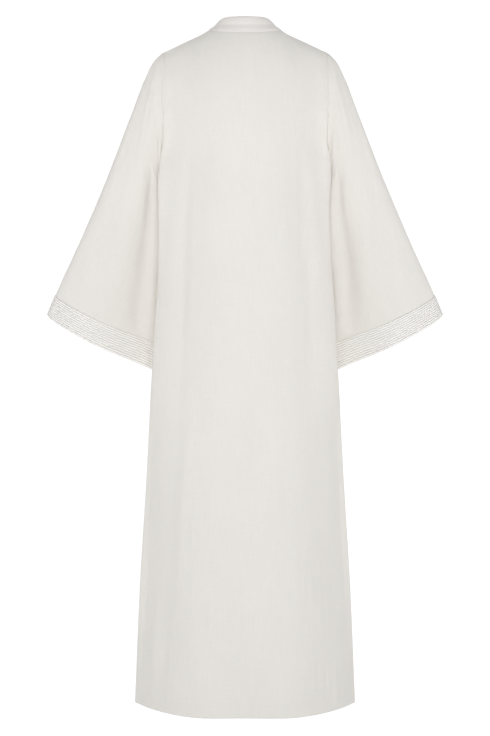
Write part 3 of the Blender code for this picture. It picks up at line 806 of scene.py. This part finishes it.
def smooth_line(line):
    """More points on a smooth curve through a line's points."""
    keys = lengths_along(line, 0)
    steps = np.arange((len(line) - 1) * BAND_STEPS_BETWEEN + 1) / BAND_STEPS_BETWEEN
    at = np.interp(steps, np.arange(len(line)), keys)
    return through(np.column_stack([keys, line]), at)[:, 1:]


def band_form():
    """Grid of the neckband's outside, plain, from its seam to its upper edge, and its normals.

    Its rows run from the middle front to the middle back, and on round the wearer's other side.
    """
    line, wall_normals = coarse_neck_line()
    edge = band_edge(line, wall_normals)
    line = line - (edge - line) * BAND_LAP / NECKBAND_WIDTH
    shares = np.linspace(0.0, 1.0, BAND_POINTS + 1)
    half = np.array([smooth_line(cut_at_middle(line + (edge - line) * s)) for s in shares])
    half[:, [0, -1], 0] = 0.0
    grid = np.concatenate([half, half[:, -2:0:-1] * MIRROR], axis=1)
    out = outwards(grid, True)
    out[0] = out[1]
    return grid, out, shares


def band_shell(name, material):
    """The neckband, with its welt, its sewn lines and its rounded upper edge."""
    grid, out, shares = band_form()
    raised = np.interp(shares, *zip(*BAND_PROFILE))
    outer = grid + out * raised[:, None, None]
    inner = grid - out * BAND_CLOTH
    inner[-1] += out[-1] * BAND_EDGE_ROUNDING
    inner = inner[::INSIDE_STEP, ::INSIDE_STEP]
    girth = round_lengths(grid)
    height = np.repeat((shares * NECKBAND_WIDTH)[:, None], girth.shape[1], axis=1)
    return cloth_wall(name, outer, inner, True, girth, height, material), grid


# Materials: colour, depth of the crinkle's bump, roughness, sheen, specular level, and how dark the painted
# shade is in the grooves between the tucks
LOOKS = {
    "ivory_crinkle": ((0.845, 0.820, 0.780), 0.00042, 0.62, 0.15, 0.35, None),
    # The tucks' colour is lighter than the other cloth's: painted brightness for the sheen on the tucks
    "ivory_tucks": ((0.970, 0.950, 0.920), 0.00006, 0.38, 0.25, 0.70, 0.70),
    "ivory_band": ((0.845, 0.815, 0.785), 0.00020, 0.60, 0.15, 0.35, None),
}

# Noise in the cloth, as metres across and down one cell, offset, detail and roughness: upright crinkle,
# crossed crinkle, warp threads, weft threads, and patches of tone
CLOTH_NOISE = (
    (0.0052, 0.021, 0.0, 2.0, 0.55),
    (0.0085, 0.0042, 7.3, 2.0, 0.5),
    (0.0011, 0.060, 3.1, 1.0, 0.5),
    (0.040, 0.0010, 9.7, 1.0, 0.5),
    (0.090, 0.160, 5.9, 2.0, 0.5),
)
WEAVE = 0.0006

# Shares of the two crinkles in the relief, of warp, weft and weave in the threads, and of threads, relief and
# patches in the tone
RELIEF_SHARES = (0.62, 0.38)
THREAD_SHARES = (0.5, 0.35, 0.15)
TONE_SHARES = (0.55, 0.25, 0.20)
CRINKLE_BUMP = 0.8
WEAVE_BUMP = 0.35
WEAVE_DEPTH = 0.00012
SHADE = 0.93
TONE_FROM = 0.30
TONE_TO = 0.70
ROUGHNESS_SPREAD = 0.06
SHEEN_ROUGHNESS = 0.45
# How far the painted shade reaches either side of each groove between the tucks, in tucks
GROOVE_SHADE_WIDTH = 0.24

# Sewn rows: thread's half width, stitch length, gap between stitches as a share of it, and bump
THREAD = 0.0004
STITCH = 0.0036
STITCH_GAP = 0.12
STITCH_BUMP = 0.7
STITCH_DEPTH = 0.0004


def settle(made, values):
    """Gives a node its settings and constant inputs."""
    for name, value in values.items():
        if name in made.inputs:
            made.inputs[name].default_value = value
        else:
            setattr(made, name, value)
    return made


def node(tree, kind, **values):
    """A new shader node with such settings and constant inputs."""
    return settle(tree.nodes.new(kind), values)


def join(tree, *links):
    """Links sockets, each pair from a source to a target."""
    for source, target in links:
        tree.links.new(source, target)


def scaled(tree, place, across, down, offset=0.0):
    """The cloth's own places, in cells of across by down metres."""
    scale = (1 / across, 1 / down, 1.0)
    mapping = node(tree, "ShaderNodeMapping", Scale=scale, Location=(offset, offset, 0.0))
    join(tree, (place.outputs["UV"], mapping.inputs["Vector"]))
    return mapping.outputs["Vector"]


def noise(tree, place, across, down, offset, detail, roughness):
    """Noise with cells of such a size on the cloth."""
    values = {"noise_dimensions": "2D", "Detail": detail, "Roughness": roughness, "Scale": 1.0}
    made = node(tree, "ShaderNodeTexNoise", **values)
    join(tree, (scaled(tree, place, across, down, offset), made.inputs["Vector"]))
    return made.outputs["Fac"]


def math(tree, operation, a, b):
    """The result of an operation on two sockets or numbers."""
    made = node(tree, "ShaderNodeMath", operation=operation)
    for socket, value in zip(made.inputs, (a, b)):
        if hasattr(value, "is_linked"):
            tree.links.new(value, socket)
        else:
            socket.default_value = value
    return made.outputs["Value"]


def blended(tree, shares, *values):
    """Values added up, each times its share."""
    terms = [math(tree, "MULTIPLY", value, share) for value, share in zip(values, shares)]
    total = terms[0]
    for term in terms[1:]:
        total = math(tree, "ADD", total, term)
    return total


def bump(tree, height, strength, distance, before=None):
    """The surface's direction with such relief, on top of the relief before it."""
    made = node(tree, "ShaderNodeBump", Strength=strength, Distance=distance)
    join(tree, (height, made.inputs["Height"]))
    if before is not None:
        join(tree, (before, made.inputs["Normal"]))
    return made.outputs["Normal"]


def painted_tuck_groove_shade(tree, place, colour, dark):
    """A colour with painted shade in the grooves between the cuff's tucks, where their folds would shade it.
    """
    parts = tree.nodes.new("ShaderNodeSeparateXYZ")
    join(tree, (scaled(tree, place, 1.0, CUFF_WIDTH / TUCKS), parts.inputs["Vector"]))
    apart = math(tree, "PINGPONG", parts.outputs["Y"], 0.5)
    limits = {"From Max": GROOVE_SHADE_WIDTH, "To Min": dark, "To Max": 1.0}
    fade = node(tree, "ShaderNodeMapRange", interpolation_type="SMOOTHSTEP", **limits)
    shaded = node(tree, "ShaderNodeVectorMath", operation="SCALE")
    join(
        tree,
        (apart, fade.inputs["Value"]),
        (colour, shaded.inputs["Vector"]),
        (fade.outputs["Result"], shaded.inputs["Scale"]),
    )
    return shaded.outputs["Vector"]


def stitches(tree, place, lines):
    """1 on the stitches of sewn rows at such heights on the cloth, and 0 elsewhere."""
    parts = tree.nodes.new("ShaderNodeSeparateXYZ")
    join(tree, (place.outputs["UV"], parts.inputs["Vector"]))
    shown = 0.0
    for line in lines:
        apart = math(tree, "ABSOLUTE", math(tree, "SUBTRACT", parts.outputs["Y"], line), 0.0)
        apart = math(tree, "MINIMUM", math(tree, "MULTIPLY", apart, 1 / THREAD), 1.0)
        shown = math(tree, "MAXIMUM", math(tree, "SUBTRACT", 1.0, apart), shown)
    along = math(tree, "PINGPONG", parts.outputs["X"], STITCH / 2)
    long = math(tree, "GREATER_THAN", along, STITCH * STITCH_GAP)
    return math(tree, "MULTIPLY", shown, long)


def cloth_material(name, sewn=()):
    """Ivory cloth of a fine crinkled weave with uneven upright threads. Its nodes use metres on the cloth."""
    colour, crinkle_depth, roughness, sheen, specular, painted_groove_shade = LOOKS[name]
    material = bpy.data.materials.new(name)
    material.use_nodes = True
    tree = material.node_tree
    place = node(tree, "ShaderNodeUVMap", uv_map="cloth")
    upright, crossed, threads, wefts, patches = (noise(tree, place, *row) for row in CLOTH_NOISE)
    weave = node(tree, "ShaderNodeTexChecker", Scale=1.0)
    join(tree, (scaled(tree, place, WEAVE, WEAVE), weave.inputs["Vector"]))
    relief = blended(tree, RELIEF_SHARES, upright, crossed)
    fine = blended(tree, THREAD_SHARES, threads, wefts, weave.outputs["Fac"])
    tone = blended(tree, TONE_SHARES, fine, relief, patches)
    ramp = tree.nodes.new("ShaderNodeValToRGB")
    for end, position, shade in zip(ramp.color_ramp.elements, (TONE_FROM, TONE_TO), (SHADE, 1.0)):
        end.position = position
        end.color = (*(c * shade for c in colour), 1.0)
    limits = {"To Min": roughness - ROUGHNESS_SPREAD, "To Max": roughness + ROUGHNESS_SPREAD}
    rough = node(tree, "ShaderNodeMapRange", **limits)
    normal = bump(tree, relief, CRINKLE_BUMP, crinkle_depth)
    normal = bump(tree, fine, WEAVE_BUMP, WEAVE_DEPTH, normal)
    if sewn:
        normal = bump(tree, stitches(tree, place, sewn), STITCH_BUMP, STITCH_DEPTH, normal)
    coloured = ramp.outputs["Color"]
    # Painted shade darkens the colour in the grooves between the tucks
    if painted_groove_shade is not None:
        coloured = painted_tuck_groove_shade(tree, place, coloured, painted_groove_shade)
    gloss = {"Specular IOR Level": specular, "Sheen Weight": sheen, "Sheen Roughness": SHEEN_ROUGHNESS}
    shader = settle(tree.nodes["Principled BSDF"], gloss)
    join(
        tree,
        (tone, ramp.inputs["Fac"]),
        (coloured, shader.inputs["Base Color"]),
        (fine, rough.inputs["Value"]),
        (rough.outputs["Result"], shader.inputs["Roughness"]),
        (normal, shader.inputs["Normal"]),
    )
    return material


# Putting the pieces in place of the CAD solids
def cloth_size(form, closed, widest, longest):
    """((width, length), area) of a form that is laid flat, from its widest row and its longest column."""
    form = ring(form) if closed else form
    width = lengths_along(form[widest], 0)[-1]
    length = lengths_along(form[:, longest], 0)[-1]
    a = np.cross(form[1:, 1:] - form[:-1, :-1], form[1:, :-1] - form[:-1, 1:])
    area = float(np.linalg.norm(a, axis=2).sum() / 2)
    return (round(float(width), 3), round(float(length), 3)), round(area, 3)


def dress(obj, node_name, form, closed, widest=0, longest=0):
    """Attaches a shell in place of its CAD solid, which it hides. Its flat size is worked out, unused."""
    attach(obj, "root")
    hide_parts(node_name)
    flat, area = cloth_size(form, closed, widest, longest)


# Stage, lights and camera
WHITE = (1.0, 1.0, 1.0, 1.0)
SEEN_GLOW = 1.1
FLOOR_Z = HEM_Z - 0.050
FLOOR_SIDE = 30.0
FLOOR_COLOUR = (0.35, 0.35, 0.35, 1.0)
FLOOR_ROUGHNESS = 0.9
FLOOR_GLOW = 0.50
SKY_GLOW = 0.371

# Lamps: azimuth, distance, height, size across and up, and power
LAMP_AIM = (0.0, 0.0, -0.5)
LAMPS = (
    (0, 2.4, -0.8, 1.4, 2.2, 20.4),
    (0, 2.4, 1.2, 1.4, 1.0, 16.3),
    (75, 2.0, -0.3, 1.0, 1.4, 4.3),
    (-75, 2.0, -0.3, 1.0, 1.4, 4.3),
)
CAMERA_BACK = 3.2
CAMERA_Z = -0.717
PHOTO_HEIGHT = 736
METRES_PER_PIXEL = 0.002134
SENSOR = 36.0


def floor_material():
    """A pale matt floor, which the camera sees as white as the background."""
    material = bpy.data.materials.new("floor_white")
    material.use_nodes = True
    tree = material.node_tree
    glow = {"Emission Color": WHITE, "Emission Strength": FLOOR_GLOW}
    matt = {"Base Color": FLOOR_COLOUR, "Roughness": FLOOR_ROUGHNESS, **glow}
    shader = settle(tree.nodes["Principled BSDF"], matt)
    white = node(tree, "ShaderNodeEmission", Strength=SEEN_GLOW)
    show_by_ray(tree, shader.outputs["BSDF"], white.outputs["Emission"], tree.nodes["Material Output"])
    return material


def show_by_ray(tree, lights, seen, output):
    """One shader lights the object and another is seen by the camera."""
    mix = tree.nodes.new("ShaderNodeMixShader")
    path = tree.nodes.new("ShaderNodeLightPath")
    join(
        tree,
        (path.outputs["Is Camera Ray"], mix.inputs["Fac"]),
        (lights, mix.inputs[1]),
        (seen, mix.inputs[2]),
        (mix.outputs["Shader"], output.inputs["Surface"]),
    )


def make_stage():
    """The floor."""
    mesh = bpy.data.meshes.new("floor")
    corners = [(x * FLOOR_SIDE, y * FLOOR_SIDE, FLOOR_Z) for x, y in ((-1, -1), (1, -1), (1, 1), (-1, 1))]
    mesh.from_pydata(corners, [], [(0, 1, 2, 3)])
    mesh.materials.append(floor_material())
    floor = placed("floor", mesh)


def make_world():
    """Pale even light from all round, and a white background behind the object."""
    world = bpy.data.worlds.new("studio")
    bpy.context.scene.world = world
    world.use_nodes = True
    tree = world.node_tree
    lit = settle(tree.nodes["Background"], {"Color": WHITE, "Strength": SKY_GLOW})
    seen = node(tree, "ShaderNodeBackground", Color=WHITE, Strength=SEEN_GLOW)
    show_by_ray(tree, lit.outputs["Background"], seen.outputs["Background"], tree.nodes["World Output"])


def make_lamps():
    """Large soft lamps that the camera doesn't see, the same behind the wearer and before them."""
    for azimuth, away, z, across, up, power in LAMPS:
        for side, facing in (("behind", 0), ("before", 180)):
            name = f"lamp_{side}_{azimuth}_{z}"
            data = bpy.data.lights.new(name, "AREA")
            data.shape = "RECTANGLE"
            data.size, data.size_y = across, up
            data.energy = power
            turn = np.radians(azimuth + facing)
            lamp = placed(name, data)
            lamp.location = (away * np.sin(turn), away * np.cos(turn), z)
            lamp.rotation_euler = (Vector(LAMP_AIM) - lamp.location).to_track_quat("-Z", "Y").to_euler()
            lamp.visible_camera = False


def make_camera():
    """The camera, level behind the wearer, with the photograph's frame."""
    data = bpy.data.cameras.new("camera")
    data.sensor_width = SENSOR
    data.lens = SENSOR * CAMERA_BACK / (PHOTO_HEIGHT * METRES_PER_PIXEL)
    camera = placed("camera", data)
    camera.location = (0.0, CAMERA_BACK, CAMERA_Z)
    camera.rotation_euler = (np.pi / 2, 0.0, np.pi)
    bpy.context.scene.camera = camera


def main():
    """The seven pieces, and what they are seen in."""
    cloth = cloth_material("ivory_crinkle", sewn=(HEM_Z + HEM_DEEP,))
    tucked = cloth_material("ivory_tucks")
    banded = cloth_material("ivory_band", sewn=(BAND_SEWN, NECKBAND_WIDTH - BAND_SEWN))
    back, form = body_shell("back_cloth", True, BACK_CREASES, BACK_SEED, cloth)
    neck_point = form.shape[1] // 2 + NECK_POINTS
    dress(back, "back_panel", form, False, longest=neck_point)
    front, form = body_shell("front_cloth", False, FRONT_CREASES, FRONT_SEED, cloth)
    dress(front, "front_panel", form, False, longest=neck_point)
    for side, turned, wobble, seed in SLEEVES:
        sleeve, form = sleeve_shell("sleeve_cloth_" + side, turned, wobble, seed, cloth)
        dress(sleeve, "sleeve_" + side, form, True, widest=-1, longest=RING_POINTS // 2)
        cuff, form = cuff_shell("cuff_tucks_" + side, turned, seed + CUFF_SEED_ADDED, tucked)
        dress(cuff, "cuff_" + side, form, True, widest=-1)
    band, form = band_shell("neckband_cloth", banded)
    dress(band, "neckband", form, True, longest=form.shape[1] // 2)
    make_stage()
    make_world()
    make_lamps()
    make_camera()
    bpy.context.scene.view_settings.view_transform = "Standard"


main()
